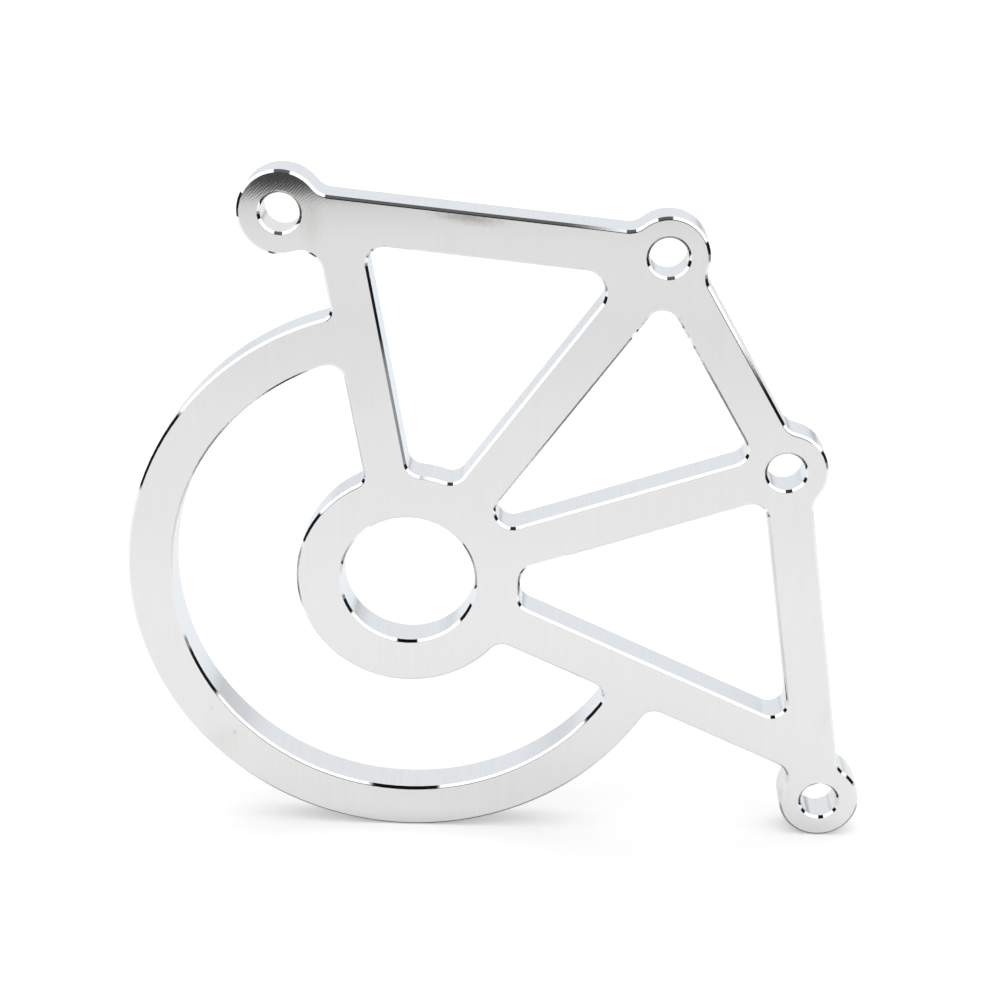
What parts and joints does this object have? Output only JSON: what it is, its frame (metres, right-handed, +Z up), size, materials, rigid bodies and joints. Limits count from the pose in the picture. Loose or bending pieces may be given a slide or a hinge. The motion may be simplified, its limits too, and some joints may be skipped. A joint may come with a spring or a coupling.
{
  "type": "motorcycle sprocket cover",
  "caption": "Flat openwork cover plate for a motorcycle's drive sprocket: an open ring round a bored hub, tied to bolt eyes by a truss of straight bars.",
  "frame": {"origin": "under the middle of the plate's width and thickness, at the level of the ring's foot and the lowest bolt eye, on which it stands", "axes": "+Z up in the plane of the plate, +X to the right across it, +Y through its thickness towards the engine casing; the face looks along -Y"},
  "size_m": [0.1314, 0.007, 0.1221],
  "materials": {
    "polished_aluminium": "polished, with very fine grain on the flat faces and bright chamfers"
  },
  "bodies": {
    "root": {"cover_plate": "polished_aluminium"}
  },
  "joints": []
}
